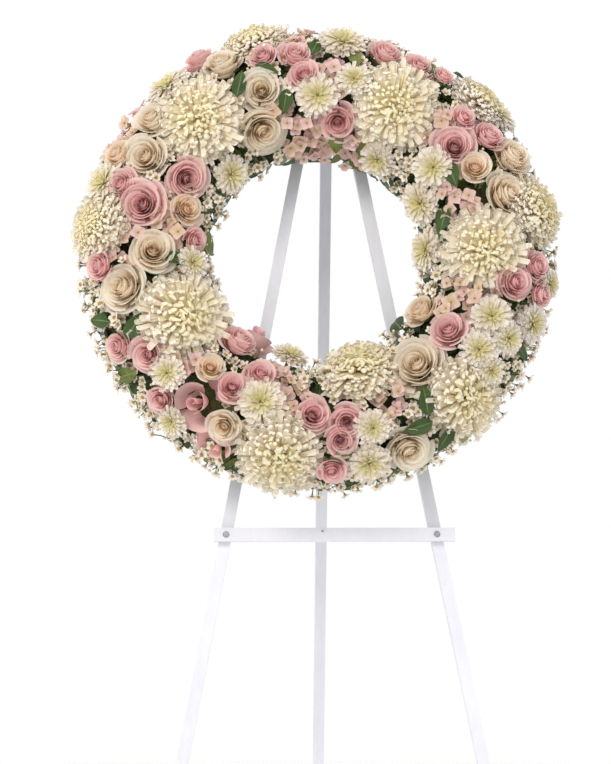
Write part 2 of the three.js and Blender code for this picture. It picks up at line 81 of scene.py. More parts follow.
def tilt_of(reach):
    """How far a bloom leans out or in, so that its face is `reach` from the wreath's middle."""
    return math.asin(max(-STEEPEST, min(STEEPEST, (reach - RING_RADIUS) / FACE_DISTANCE)))


def up_the_slope(clock, reach):
    """A place as seen level from in front, as a clock and a reach in the wreath's leaning plane."""
    angle = math.radians(clock)
    drop = FACE_DISTANCE * (1 - math.cos(tilt_of(reach))) * math.sin(LEAN)
    x = reach * math.sin(angle)
    y = (reach * math.cos(angle) + drop) / math.cos(LEAN)
    return math.degrees(math.atan2(x, y)) % 360, math.hypot(x, y)


def head_seat(clock, reach, distance, spin=0.0, nod=(0.0, 0.0)):
    """The seat of a bloom or leaf that is placed as seen from in front."""
    clock, reach = up_the_slope(clock, reach)
    return seat(clock, tilt_of(reach), distance, spin, nod)


def seat(clock, tilt, distance, spin=0.0, nod=(0.0, 0.0)):
    """Axes and origin at a tilt round the ring's section: z faces out, x is `spin` from around."""
    outward, around, core = section(clock)
    facing = outward * math.sin(tilt) + np.array([0, 0, math.cos(tilt)])
    origin = core + facing * distance
    facing = unit(facing + nod[0] * around + nod[1] * outward)
    side = unit(np.cross(facing, around))
    around = np.cross(side, facing)
    x_axis = math.cos(spin) * around + math.sin(spin) * side
    return np.stack([x_axis, np.cross(facing, x_axis), facing], axis=1), origin


# ---------------------------------------------------------------- meshes made of sheets

def link(piece):
    bpy.context.scene.collection.objects.link(piece)
    return piece


class Sheets:
    """Collects grids of points, such as petals and leaves, that become one mesh."""

    def __init__(self):
        self.points = []
        self.faces = []
        self.slots = []
        self.data = {key: [] for key in ("age", "along", "across", "chance", "tone")}
        self.total = 0

    def add(self, points, place, slot, age=0.5, chance=0.5, tone=0.5, closed=False):
        """Adds (count, rows, columns, 3) points at a place given as axes and an origin."""
        count, rows, columns = points.shape[:3]
        axes, origin = place
        index = np.arange(count * rows * columns).reshape(count, rows, columns) + self.total
        if closed:
            index = np.concatenate([index, index[:, :, :1]], axis=2)
        quads = np.stack([index[:, :-1, :-1], index[:, :-1, 1:],
                          index[:, 1:, 1:], index[:, 1:, :-1]], axis=-1).reshape(-1, 4)
        self.points.append(points.reshape(-1, 3) @ axes.T + origin)
        self.faces.append(quads)
        self.slots.append(np.full(len(quads), slot))
        values = {
            "age": np.reshape(age, (-1, 1, 1)),
            "along": np.linspace(0, 1, rows)[None, :, None],
            "across": np.linspace(-1, 1, columns)[None, None, :],
            "chance": np.reshape(chance, (-1, 1, 1)),
            "tone": np.reshape(tone, (-1, 1, 1)),
        }
        for key, value in values.items():
            self.data[key].append(np.broadcast_to(value, (count, rows, columns)).reshape(-1))
        self.total += count * rows * columns

    def build(self, name, materials):
        """Makes the object, in metres and in the frame's own axes."""
        points = np.concatenate(self.points)
        points[:, 2] = np.maximum(points[:, 2], BACK_DEPTH)
        points = points * MM @ WREATH_AXES.T + WREATH_CENTRE
        mesh = self.bare_mesh(name, points, np.concatenate(self.faces))
        for material in materials:
            mesh.materials.append(material)
        for key, parts in self.data.items():
            layer = mesh.attributes.new(key, "FLOAT", "POINT")
            layer.data.foreach_set("value", np.concatenate(parts).astype(np.float32))
        mesh.update(calc_edges=True)
        mesh.validate()
        return link(bpy.data.objects.new(name, mesh))

    def bare_mesh(self, name, points, faces):
        """A smooth mesh of four-sided faces, each with its material's number."""
        mesh = bpy.data.meshes.new(name)
        mesh.vertices.add(len(points))
        mesh.vertices.foreach_set("co", points.astype(np.float32).ravel())
        mesh.loops.add(faces.size)
        mesh.loops.foreach_set("vertex_index", faces.astype(np.int32).ravel())
        mesh.polygons.add(len(faces))
        mesh.polygons.foreach_set("loop_start", np.arange(0, faces.size, 4, dtype=np.int32))
        mesh.polygons.foreach_set("material_index", np.concatenate(self.slots).astype(np.int32))
        mesh.polygons.foreach_set("use_smooth", np.ones(len(faces), dtype=bool))
        return mesh


def column(values):
    """One value a sheet, ready to spread over its rows and columns."""
    return np.asarray(values, float)[:, None, None]


def turned(rho, lateral, z, turn):
    """Points at a distance out and to the side, turned about z, one angle a sheet."""
    cos_turn, sin_turn = np.cos(column(turn)), np.sin(column(turn))
    x = rho * cos_turn - lateral * sin_turn
    y = rho * sin_turn + lateral * cos_turn
    return np.stack(np.broadcast_arrays(x, y, z + 0 * x), axis=-1)


def bezier(p0, p1, p2, p3, v):
    """Cubic curves, one a petal: the points are (count, 2), v is (count, rows, columns)."""
    v = v[..., None]
    p0, p1, p2, p3 = (p[:, None, None, :] for p in (p0, p1, p2, p3))
    return (1 - v) ** 3 * p0 + 3 * v * (1 - v) ** 2 * p1 + 3 * v ** 2 * (1 - v) * p2 + v ** 3 * p3


def pair(a, b):
    """Points in a petal's own half-plane, as distance out and height."""
    return np.stack(np.broadcast_arrays(a, b), axis=-1).astype(float)


# ---------------------------------------------------------------- roses

HEART_SHARE = 0.42               # of a rose's petals are in its spiral heart


def rose_ages(count):
    """How far out each petal stands, from 0 in the heart to 1 outside."""
    i = np.arange(count)
    heart = HEART_SHARE * count
    late = np.clip((i - heart) / (count - 1 - heart), 0, 1)
    return np.where(i < heart, 0.30 * i / heart, 0.34 + 0.66 * late ** 0.9)


def rose_profile(t, radius, depth, openness, v, rng):
    """The curve of each petal's middle, from its root up and out to its rim."""
    count = len(t)
    rim = radius * (0.06 + 0.78 * t) * rng.normal(1, 0.03, count)
    height = depth * (0.94 + 0.06 * np.sin(math.pi * t) - (0.22 + 0.34 * openness) * t ** 2.4)
    height = height * rng.normal(1, 0.02, count)
    flare = (0.06 + 0.42 * openness * t + 0.08 * t) * rng.normal(1, 0.12, count)
    drop = depth * 0.10 * t ** 2 * (0.5 + openness)
    low = pair(0.10 * radius * t ** 0.5, 0.02 * depth)
    belly = pair(rim * (0.85 + 0.2 * t), depth * (0.12 + 0.22 * (1 - t)))
    neck = pair(rim * (1.0 - 0.12 * t), height * (0.86 - 0.02 * t))
    lip = pair(rim * (1 + flare) - 0.02 * radius, height - drop)
    curve = bezier(low, belly, neck, lip, v + 0 * column(t))
    return curve[..., 0], curve[..., 1]


def rose_petals(width, depth, count, rng, openness=0.5, rows=8, columns=9):
    """A tight spiral heart and broad outer petals whose rims turn out, at the golden angle."""
    radius = width / 2
    t = rose_ages(count)
    turn = np.arange(count) * GOLDEN_ANGLE + rng.normal(0, 0.14, count)
    u = np.linspace(-1, 1, columns)[None, None, :]
    v = np.linspace(0, 1, rows)[None, :, None] ** 0.85
    edge = np.abs(u)
    rho, z = rose_profile(t, radius, depth, openness, v * (1 - 0.2 * edge ** 2.6), rng)
    wrap = (1.9 - 1.05 * t ** 0.6) * rng.normal(1, 0.06, count)
    spiral = 0.08 * rng.normal(1, 0.2, count)
    rho = rho * (1 + column(spiral) * u)
    # The sides of each rim roll outwards and the middle keeps a soft point.
    roll = radius * 0.07 * column(t ** 0.6)
    rho = rho + roll * edge ** 3 * v ** 4 - 0.3 * roll * np.exp(-(u / 0.3) ** 2) * v ** 6
    phase = column(rng.uniform(0, 2 * math.pi, count))
    z = z + 0.02 * radius * np.sin(3.1 * u + phase) * v ** 3 * (column(t) + 0.2)
    rho = rho + 0.02 * radius * np.sin(4.3 * u + 2 * phase) * v ** 3 * column(t)
    taper = 0.45 + 0.55 * np.sin(0.5 * math.pi * np.clip(v * 1.35, 0, 1))
    angle = column(turn) + u * column(wrap) * taper
    return np.stack([rho * np.cos(angle), rho * np.sin(angle), z], axis=-1), t


# ---------------------------------------------------------------- chrysanthemums

# cap: how far down the sides the petals start, in degrees. lead and hook: how far a petal leans
# out before its tip hooks back to the heart. squash: how flat the head is.
# Petals: how many, how far over the ball they reach, how far their tips lead outwards and hook
# back, in degrees, then shares of the bloom's radius or width, or of the petal's own size.
LARGE_MUM = dict(count=480, columns=4, cap=108, lead=10, hook=10, half=0.060, channel=0.6, upright=0.8,
                 gather=0.66, young=0.62, squash=0.50, hollow=0.12, base=0.5, depth=0.42, ragged=0.08)
SPRAY_MUM = dict(count=120, columns=4, cap=104, lead=5, hook=4, half=0.10, channel=0.5, upright=0.55,
                 gather=0.5, young=0.45, squash=0.5, hollow=0.34, base=0.25, depth=0.40, ragged=0.08)
PETAL_STEPS = np.array([0.0, 0.25, 0.45, 0.62, 0.77, 0.9, 1.0])


def mum_petals(width, kind, rng):
    """Petals over a flattened ball: each leans out from the heart and its tip hooks back."""
    radius = width / 2
    count = kind["count"]
    i = np.arange(count)
    share = (i + 0.5) / count
    polar = math.radians(kind["cap"]) * share ** kind["gather"]
    hollow = kind["hollow"] * np.exp(-(polar / 0.42) ** 2)
    size = (1 - hollow) * rng.normal(1, kind["ragged"], count)
    small = kind["young"] + (1 - kind["young"]) * np.clip(polar / 0.9, 0, 1)
    half = radius * kind["half"] * small * rng.normal(1, 0.1, count)
    polar = polar + rng.normal(0, 0.045, count)
    turn = i * GOLDEN_ANGLE + rng.normal(0, 0.07, count)

    v = PETAL_STEPS[None, :, None]
    u = np.linspace(-1, 1, kind["columns"])[None, None, :]
    rise = np.sin(0.5 * math.pi * np.minimum(1, v / 0.75))
    curl = np.maximum(0, (v - 0.5) / 0.5) ** 1.7
    hook = column(np.radians(kind["hook"] * rng.normal(1, 0.3, count)))
    lead = math.radians(kind["lead"])
    angle = column(polar) * (kind["upright"] + (1 - kind["upright"]) * rise) + lead * rise - hook * curl
    reach = column(size) * (kind["base"] + (1 - kind["base"]) * np.sin(0.5 * math.pi * v))
    rho = radius * reach * np.sin(angle)
    centre = width * kind["depth"] - radius * kind["squash"]
    z = centre + radius * kind["squash"] * reach * np.cos(angle)
    broad = (0.5 + 0.5 * np.sin(0.5 * math.pi * np.minimum(1, v / 0.6)))
    broad = broad * np.sqrt(1 - 0.88 * np.maximum(0, (v - 0.6) / 0.4) ** 2)
    sway = column(rng.normal(0, 0.16, count)) * v ** 2 * radius * 0.35
    lateral = column(half) * broad * u + sway
    cup = column(half) * kind["channel"] * broad * u ** 2
    rho = rho - np.cos(angle) * cup
    z = z + np.sin(angle) * cup
    return turned(rho, lateral, z, turn), share


# ---------------------------------------------------------------- small shapes

def tube(points, radii, sides=5):
    """A round tube through the points, as one closed-round sheet."""
    points = np.array(points, float)
    ways = np.gradient(points, axis=0)
    ways = ways / np.linalg.norm(ways, axis=1)[:, None]
    side = np.cross(ways, np.array([0.31, 0.87, 0.39]))
    side = side / np.linalg.norm(side, axis=1)[:, None]
    other = np.cross(ways, side)
    angle = np.linspace(0, 2 * math.pi, sides, endpoint=False)
    ring = (side[:, None, :] * np.cos(angle)[None, :, None]
            + other[:, None, :] * np.sin(angle)[None, :, None])
    return (points[:, None, :] + ring * np.array(radii)[:, None, None])[None]


def lathe(profile, sides=8):
    """A turned shape from [radius, height] pairs, as one closed-round sheet."""
    profile = np.array(profile, float)
    angle = np.linspace(0, 2 * math.pi, sides, endpoint=False)
    x = profile[:, :1] * np.cos(angle)
    y = profile[:, :1] * np.sin(angle)
    return np.stack([x, y, np.broadcast_to(profile[:, 1:2], x.shape)], axis=-1)[None]


def whorl(count, inner, length, half, cup, rng, rows=4, columns=4):
    """Broad rounded petals round a middle, as on a hydrangea floret or a waxflower."""
    turn = np.arange(count) * 2 * math.pi / count + rng.normal(0, 0.08, count)
    v = np.linspace(0, 1, rows)[None, :, None]
    u = np.linspace(-1, 1, columns)[None, None, :]
    shape = np.sin(math.pi * (0.10 + 0.80 * v)) ** 0.6
    rho = inner + length * v * (1 - 0.15 * u ** 2)
    wobble = column(rng.normal(0, 0.07 * length, count))
    z = length * (cup * v ** 1.5 + 0.16 * u ** 2 * v) + wobble * v
    return turned(rho, half * shape * u, z, turn)


def leaf_sheet(length, half, fold, curl, twist, rows=8, columns=5):
    """A leaf lying along x with its upper face towards z."""
    v = np.linspace(0, 1, rows)[:, None]
    u = np.linspace(-1, 1, columns)[None, :]
    shape = np.sin(math.pi * v ** 0.8) ** 0.85 + 0.02
    y = half * shape * u
    z = fold * half * np.abs(u) * shape + curl * length * v ** 2
    z = z + 0.03 * length * np.sin(9 * v) * u ** 2
    angle = twist * v
    x = length * v + 0 * u
    return np.stack([x, y * np.cos(angle) - z * np.sin(angle),
                     y * np.sin(angle) + z * np.cos(angle)], axis=-1)[None]


# ---------------------------------------------------------------- materials

BLACK = (0.0, 0.0, 0.0, 1.0)
WHITE = (1.0, 1.0, 1.0, 1.0)


def srgb(r, g, b):
    """A colour given as 0 to 255, as linear values."""
    def linear(c):
        c = c / 255
        return c / 12.92 if c <= 0.04045 else ((c + 0.055) / 1.055) ** 2.4
    return (linear(r), linear(g), linear(b), 1.0)


def grey(value):
    return (value, value, value, 1.0)


class Nodes:
    """Short ways to add and link a material's nodes."""

    def __init__(self, name):
        self.material = bpy.data.materials.new(name)
        self.material.use_nodes = True
        self.tree = self.material.node_tree
        self.tree.nodes.clear()

    def new(self, kind):
        return self.tree.nodes.new("ShaderNode" + kind)

    def put(self, socket, value):
        if isinstance(value, bpy.types.NodeSocket):
            self.tree.links.new(value, socket)
        else:
            socket.default_value = value

    def attribute(self, name):
        node = self.new("Attribute")
        node.attribute_name = name
        return node.outputs["Fac"]

    def ramp(self, factor, *stops):
        node = self.new("ValToRGB")
        elements = node.color_ramp.elements
        while len(elements) < len(stops):
            elements.new(0.5)
        for element, (place, colour) in zip(elements, stops):
            element.position = place
            element.color = colour
        self.put(node.inputs["Fac"], factor)
        return node.outputs["Color"]

    def mix(self, factor, a, b, blend="MIX"):
        node = self.new("Mix")
        node.data_type = "RGBA"
        node.blend_type = blend
        # A Mix node has sockets for every type: 6 and 7 in, and 2 out, are those for colours.
        for key, value in ((0, factor), (6, a), (7, b)):
            self.put(node.inputs[key], value)
        return node.outputs[2]

    def math(self, operation, a, b=0.0):
        node = self.new("Math")
        node.operation = operation
        self.put(node.inputs[0], a)
        self.put(node.inputs[1], b)
        return node.outputs[0]

    def noise(self, scale, detail, roughness, vector=None):
        node = self.new("TexNoise")
        node.inputs["Scale"].default_value = scale
        node.inputs["Detail"].default_value = detail
        node.inputs["Roughness"].default_value = roughness
        self.put(node.inputs["Vector"], vector if vector is not None else self.coordinates())
        return node.outputs["Fac"]

    def combine(self, x, y, z):
        node = self.new("CombineXYZ")
        for key, value in zip("XYZ", (x, y, z)):
            self.put(node.inputs[key], value)
        return node.outputs["Vector"]

    def coordinates(self):
        return self.new("TexCoord").outputs["Object"]

    def bump(self, height, strength, distance):
        node = self.new("Bump")
        node.inputs["Strength"].default_value = strength
        node.inputs["Distance"].default_value = distance
        self.put(node.inputs["Height"], height)
        return node.outputs["Normal"]

    def surface(self, colour, roughness, normal, sheen=0.0, specular=0.3, metallic=0.0):
        node = self.new("BsdfPrincipled")
        self.put(node.inputs["Base Color"], colour)
        self.put(node.inputs["Normal"], normal)
        node.inputs["Roughness"].default_value = roughness
        node.inputs["Metallic"].default_value = metallic
        node.inputs["Specular IOR Level"].default_value = specular
        node.inputs["Sheen Weight"].default_value = sheen
        return node.outputs["BSDF"]

    def thin(self, surface, colour, normal, through):
        """Lets some light through, as petals and leaves do."""
        glow = self.new("BsdfTranslucent")
        self.put(glow.inputs["Color"], colour)
        self.put(glow.inputs["Normal"], normal)
        blend = self.new("MixShader")
        blend.inputs["Fac"].default_value = through
        self.put(blend.inputs[1], surface)
        self.put(blend.inputs[2], glow.outputs["BSDF"])
        return blend.outputs["Shader"]

    def output(self, shader):
        node = self.new("OutputMaterial")
        self.put(node.inputs["Surface"], shader)
        return self.material


def petal_material(name, heart, body, edge, root, deep, through=0.3, roughness=0.55, spots=0.0,
                   heart_end=0.5, heart_tone=None):
    """Soft thin petals: colour by how near the heart they are, and from root to edge.

    The tone leads from the body's and the heart's colour to the deep and the heart_tone colour.
    """
    nodes = Nodes(name)
    age, along, tone = (nodes.attribute(key) for key in ("age", "along", "tone"))
    outer = nodes.mix(tone, body, deep)
    inner = heart if heart_tone is None else nodes.mix(tone, heart, heart_tone)
    layer = nodes.mix(nodes.ramp(age, (0.02, BLACK), (heart_end, WHITE)), inner, outer)
    tipped = nodes.mix(nodes.ramp(along, (0.6, BLACK), (1.0, grey(0.8))), layer, edge)
    rooted = nodes.mix(nodes.ramp(along, (0.0, grey(0.9)), (0.55, BLACK)), tipped, root)
    chance = nodes.attribute("chance")
    fine = nodes.combine(nodes.math("MULTIPLY", nodes.attribute("across"), 13.0),
                         nodes.math("MULTIPLY", along, 2.2), nodes.math("MULTIPLY", chance, 37.0))
    veins = nodes.noise(1.0, 2.0, 0.6, fine)
    veined = nodes.mix(0.5, rooted, nodes.ramp(veins, (0.3, grey(0.84)), (0.7, WHITE)), "MULTIPLY")
    lot = nodes.ramp(chance, (0.0, (0.86, 0.84, 0.80, 1)), (1.0, WHITE))
    colour = nodes.mix(0.6, veined, lot, "MULTIPLY")
    if spots:
        patches = nodes.noise(70.0, 2.0, 0.5)
        stain = nodes.ramp(patches, (0.56, BLACK), (0.72, grey(spots)))
        colour = nodes.mix(stain, colour, srgb(200, 168, 120))
    normal = nodes.bump(veins, 0.25, 0.0006)
    surface = nodes.surface(colour, roughness, normal, sheen=0.2)
    return nodes.output(nodes.thin(surface, colour, normal, through))


def leaf_material(name, dark, light, roughness=0.42):
    """A leaf with a pale midrib, side ribs and patchy colour."""
    nodes = Nodes(name)
    across = nodes.math("ABSOLUTE", nodes.attribute("across"))
    rib = nodes.ramp(across, (0.0, grey(0.6)), (0.12, BLACK))
    patches = nodes.noise(60.0, 3.0, 0.6)
    base = nodes.mix(nodes.ramp(patches, (0.35, BLACK), (0.7, WHITE)), dark, light)
    toned = nodes.mix(nodes.math("MULTIPLY", nodes.attribute("chance"), 0.6), base, light)
    colour = nodes.mix(rib, toned, srgb(150, 158, 100))
    wave = nodes.new("TexWave")
    wave.inputs["Scale"].default_value = 3.0
    slant = nodes.math("SUBTRACT", nodes.math("MULTIPLY", nodes.attribute("along"), 3.0), across)
    nodes.put(wave.inputs["Vector"], nodes.combine(slant, 0.0, 0.0))
    normal = nodes.bump(wave.outputs["Fac"], 0.35, 0.0008)
    surface = nodes.surface(colour, roughness, normal, specular=0.4)
    return nodes.output(nodes.thin(surface, colour, normal, 0.2))


def mottled_material(name, colour, other, scale, roughness, bump=0.3, distance=0.0005,
                     metallic=0.0):
    """Two close colours in noise, with a fine bump."""
    nodes = Nodes(name)
    field = nodes.ramp(nodes.noise(scale, 4.0, 0.6), (0.3, BLACK), (0.7, WHITE))
    normal = nodes.bump(nodes.noise(scale * 3, 4.0, 0.6), bump, distance)
    mixed = nodes.mix(field, colour, other)
    return nodes.output(nodes.surface(mixed, roughness, normal, metallic=metallic))


def painted_lath(name):
    """White paint on sawn lath: faint lengthwise grain and rubbed patches."""
    nodes = Nodes(name)
    mapping = nodes.new("Mapping")
    mapping.inputs["Scale"].default_value = (180, 180, 6)
    nodes.put(mapping.inputs["Vector"], nodes.coordinates())
    grain = nodes.noise(1.0, 5.0, 0.65, mapping.outputs["Vector"])
    blotch = nodes.ramp(nodes.noise(9.0, 3.0, 0.5), (0.35, BLACK), (0.7, WHITE))
    tint = nodes.mix(blotch, srgb(226, 226, 233), srgb(218, 218, 226))
    shade = nodes.ramp(grain, (0.3, grey(0.93)), (0.6, WHITE))
    colour = nodes.mix(0.6, tint, shade, "MULTIPLY")
    return nodes.output(nodes.surface(colour, 0.5, nodes.bump(grain, 0.4, 0.0005)))


MUM_CREAM = petal_material(
    "mum_cream", heart=srgb(248, 238, 184), body=srgb(255, 248, 230), edge=srgb(255, 254, 246),
    root=srgb(242, 224, 188), deep=srgb(254, 246, 240), through=0.3, heart_end=0.3)
SPRAY_WHITE = petal_material(
    "spray_white", heart=srgb(222, 214, 130), body=srgb(252, 243, 228), edge=srgb(255, 249, 240),
    root=srgb(220, 206, 160), deep=srgb(248, 244, 244), through=0.3, spots=0.15, heart_end=0.22)
ROSE_PINK = petal_material(
    "rose_pink", heart=srgb(240, 160, 168), body=srgb(254, 220, 218), edge=srgb(255, 234, 230),
    root=srgb(250, 196, 190), deep=srgb(246, 184, 186), through=0.4, heart_tone=srgb(226, 122, 136))
ROSE_CREAM = petal_material(
    "rose_cream", heart=srgb(255, 230, 182), body=srgb(255, 246, 228), edge=srgb(255, 251, 242),
    root=srgb(255, 232, 196), deep=srgb(255, 230, 198), through=0.45, heart_tone=srgb(255, 208, 148))
OPEN_PINK = petal_material(
    "open_pink", heart=srgb(240, 190, 188), body=srgb(244, 202, 202), edge=srgb(248, 212, 210),
    root=srgb(236, 186, 180), deep=srgb(236, 172, 164), through=0.35)
FLORET_MAUVE = petal_material(
    "floret_mauve", heart=srgb(240, 206, 204), body=srgb(244, 208, 210), edge=srgb(248, 222, 220),
    root=srgb(214, 188, 144), deep=srgb(234, 212, 176), through=0.3, spots=0.4)
WAX_WHITE = petal_material(
    "wax_white", heart=srgb(250, 244, 230), body=srgb(252, 246, 236), edge=srgb(255, 250, 244),
    root=srgb(232, 214, 180), deep=srgb(246, 226, 214), through=0.2)
WAX_CUP = mottled_material("wax_cup", srgb(170, 160, 70), srgb(140, 100, 70), 300, 0.4)
BUD_PALE = mottled_material("bud_pale", srgb(236, 226, 200), srgb(206, 196, 140), 200, 0.45)
STEM_GREEN = mottled_material("stem_green", srgb(104, 124, 58), srgb(70, 92, 44), 120, 0.5)
LEAF_DARK = leaf_material("leaf_dark", srgb(40, 64, 30), srgb(72, 98, 44))
LEAF_OLIVE = leaf_material("leaf_olive", srgb(88, 102, 46), srgb(124, 134, 68))
LEAF_PALE = leaf_material("leaf_pale", srgb(126, 134, 92), srgb(162, 166, 126))
# Dark olive of the foliage core: partly the greenery's own colour and partly painted shade for the gaps
# between the blooms.
GREENERY_AND_PAINTED_SHADE = mottled_material("foliage_shade", srgb(44, 52, 26), srgb(78, 76, 38), 90, 0.85, 1.0, 0.004)
PAINT = painted_lath("painted_lath_white")
STEEL = mottled_material("zinc_steel", srgb(176, 178, 182), srgb(150, 152, 156), 90, 0.35, metallic=0.9)
TRAY_GREEN = mottled_material("tray_green", srgb(40, 66, 44), srgb(52, 78, 52), 60, 0.5, 0.15)
FOAM_GREEN = mottled_material("foam_green", srgb(60, 106, 62), srgb(80, 126, 76), 400, 0.95, 0.8)

# ---------------------------------------------------------------- where the blooms sit

# Degrees clockwise from the top, distance of the face from the wreath's middle and width, as the
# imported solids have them. Blooms listed together branch from one stem. The tone runs from 0, the
# bloom's lighter colour, to 1, its deeper or cooler one.
LARGE_MUMS = [
    ([(28, 195, 104)], 0.1),
    ([(48, 283, 80)], 0.9),
    ([(80, 279, 86)], 0.1),
    ([(90, 195, 102)], 0.2),
    ([(136, 257, 94)], 0.2),
    ([(162, 143, 96)], 0.1),
    ([(191, 258, 100)], 0.2),
    ([(244, 173, 108)], 0.2),
    ([(276, 276, 86)], 0.4),
    ([(318, 215, 106)], 0.2),
    ([(344, 281, 82)], 0.3),
]

CREAM_ROSES = [
    ([(63, 214, 42)], 0.7),
    ([(74, 240, 58), (65, 273, 50)], 0.4),
    ([(122, 135, 42)], 0.6),
    ([(139, 176, 70)], 0.1),
    ([(156, 275, 56)], 0.05),
    ([(208, 247, 44)], 0.3),
    ([(258, 241, 58)], 0.15),
    ([(269, 196, 54)], 0.3),
    ([(299, 241, 54), (308, 262, 48)], 0.2),
    ([(333, 260, 50)], 0.25),
    ([(335, 151, 58)], 0.25),
    ([(341, 206, 54)], 0.1),
]

PINK_ROSES = [
    ([(9, 146, 46)], 0.6),
    ([(19, 260, 44), (29, 262, 40), (36, 266, 26)], 0.35),
    ([(53, 207, 52), (57, 251, 42), (48, 238, 32)], 0.4),
    ([(95, 271, 38), (100, 240, 46), (102, 280, 34)], 0.5),
    ([(123, 181, 48)], 0.2),
    ([(171, 208, 46), (183, 198, 48), (174, 235, 40)], 0.35),
    ([(205, 163, 38), (212, 197, 38)], 0.6),
    ([(220, 139, 48)], 0.25),
    ([(238, 245, 44), (243, 274, 38)], 0.3),
    ([(265, 268, 40)], 0.45),
    ([(285, 219, 60), (288, 254, 44)], 0.25),
    ([(299, 174, 52)], 0.3),
    ([(329, 285, 44)], 0.5),
    ([(353, 241, 44), (345, 249, 36), (356, 211, 40)], 0.35),
]

SPRAY_MUMS = [
    ([(7, 262, 56), (12, 208, 42)], 0.3),
    ([(55, 164, 48), (67, 127, 50)], 0.3),
    ([(92, 122, 50)], 0.3),
    ([(123, 228, 46), (112, 223, 48), (116, 254, 40)], 0.4),
    ([(167, 270, 50), (164, 225, 42)], 0.3),
    ([(201, 197, 56)], 0.2),
    ([(287, 276, 54)], 0.3),
]

# Small blooms with no solid of their own: place, then tone.
SMALL_PINK_ROSES = [((226, 268, 38), 0.4), ((177, 273, 36), 0.5), ((273, 142, 34), 0.6)]
SMALL_CREAM_ROSES = [((286, 157, 40), 0.9), ((222, 193, 34), 0.9), ((295, 274, 40), 0.8)]
SMALL_SPRAYS = [
    ((0, 182, 52), 0.3), ((309, 128, 46), 0.3), ((263, 146, 40), 0.3), ((195, 126, 42), 0.3),
    ((230, 237, 42), 0.3), ((110, 279, 48), 0.8), ((126, 256, 36), 0.4), ((53, 285, 54), 0.9),
    ((35, 120, 44), 0.4), ((318, 276, 54), 0.5), ((99, 288, 36), 0.6), ((220, 278, 38), 0.4),
]
# Big smooth petals of full-blown roses: place, tone and how many petals.
OPEN_ROSES = [((213, 116, 66), 0.1, 6), ((217, 237, 70), 0.15, 7), ((207, 277, 46), 0.7, 5)]

# Middles of the patches of small filler flowers, as degrees clockwise and distance.
HYDRANGEA_PATCHES = [
    (352, 154), (70, 178), (274, 232), (280, 173), (110, 158), (113, 195), (5, 229), (192, 163),
    (355, 273), (227, 209), (304, 290), (357, 120), (45, 224), (23, 127), (155, 202),
]
WAXFLOWER_PATCHES = [
    (305, 204), (295, 201), (326, 250), (296, 130), (327, 124), (14, 229), (29, 291), (10, 279),
    (40, 250), (59, 289), (104, 131), (228, 178), (253, 277), (233, 275), (184, 150), (151, 234),
    (106, 262), (122, 260), (148, 284), (178, 256), (258, 126), (0, 258), (48, 139), (250, 215),
]
# Single leaves that stand out: clock, distance, heading from outward, length, width and finish.
SHOWN_LEAVES = [
    (40, 292, 60, 42, 17, "dark"), (33, 272, 200, 34, 18, "olive"), (271, 126, 185, 34, 30, "olive"),
    (236, 282, 20, 40, 20, "olive"), (251, 280, 30, 30, 18, "dark"), (134, 124, 190, 30, 24, "dark"),
    (76, 150, 120, 34, 22, "dark"), (82, 146, 80, 30, 20, "dark"), (10, 124, 170, 30, 18, "olive"),
    (26, 128, 190, 28, 18, "olive"), (334, 217, 40, 34, 18, "dark"), (348, 183, 200, 32, 18, "dark"),
    (142, 290, 20, 30, 18, "pale"), (146, 280, 60, 34, 18, "dark"), (117, 280, 10, 34, 12, "dark"),
    (246, 249, 150, 36, 20, "dark"), (173, 250, 60, 32, 18, "olive"), (265, 169, 180, 32, 18, "dark"),
    (60, 182, 100, 36, 20, "dark"), (11, 243, 160, 30, 16, "olive"), (359, 248, 20, 30, 16, "dark"),
    (146, 229, 200, 38, 20, "dark"), (343, 230, 120, 30, 18, "dark"), (150, 250, 100, 36, 20, "dark"),
]


def all_places():
    """Every bloom's clock, distance and width."""
    rows = LARGE_MUMS + CREAM_ROSES + PINK_ROSES + SPRAY_MUMS
    places = [place for group, _ in rows for place in group]
    return places + [row[0] for row in
                     SMALL_PINK_ROSES + SMALL_CREAM_ROSES + SMALL_SPRAYS + OPEN_ROSES]


# ---------------------------------------------------------------- building blooms

ROSE_DEPTH = 0.62                # a rose's height, as a share of its width
ROSE_SPREAD = 1.06               # how far its outer petals pass its width
MUM_SPREAD = 1.03
ROSE_PETAL_COUNTS = [(34, 17), (50, 24), (math.inf, 32)]    # widths below, and petals


def seed_of(place):
    """A bloom's own seed, so that a change to one leaves the rest as they are."""
    return int(place[0] * 7 + place[1] * 131 + place[2] * 977) % (2 ** 31)


def add_stem(sheets, place, base):
    """A stem from the head's base down into the foam."""
    length = base - STEM_END
    points = [[0, 0, -length], [0, 0, -length / 2], [0, 0, 1]]
    sheets.add(tube(points, [1.6, 1.8, 2.2]), place, 1, closed=True)


def add_calyx(sheets, place, width, depth, rng):
    """The green cup and sepals that hold a rose from below."""
    r = width * 0.12
    cup = [[0.3, -2], [r * 0.8, 0], [r * 1.1, depth * 0.08], [r * 0.9, depth * 0.16]]
    sheets.add(lathe(cup), place, 1, closed=True)
    sheets.add(whorl(5, r * 0.8, width * 0.3, width * 0.07, 0.25, rng, 4, 3), place, 1)


def add_rose(sheets, bloom, tone, petals=None, openness=0.5):
    """A rose with its cup and stem, which has more petals the wider it is."""
    clock, reach, width = bloom
    rng = np.random.default_rng(seed_of(bloom))
    depth = width * ROSE_DEPTH
    count = petals or next(number for limit, number in ROSE_PETAL_COUNTS if width < limit)
    base = FACE_DISTANCE - depth
    spin = rng.uniform(0, 2 * math.pi)
    place = head_seat(clock, reach, base, spin, rng.normal(0, 0.09, 2))
    points, age = rose_petals(width * ROSE_SPREAD, depth, count, rng, openness)
    sheets.add(points, place, 0, age, rng.random(count), tone)
    add_calyx(sheets, place, width, depth, rng)
    add_stem(sheets, place, base)


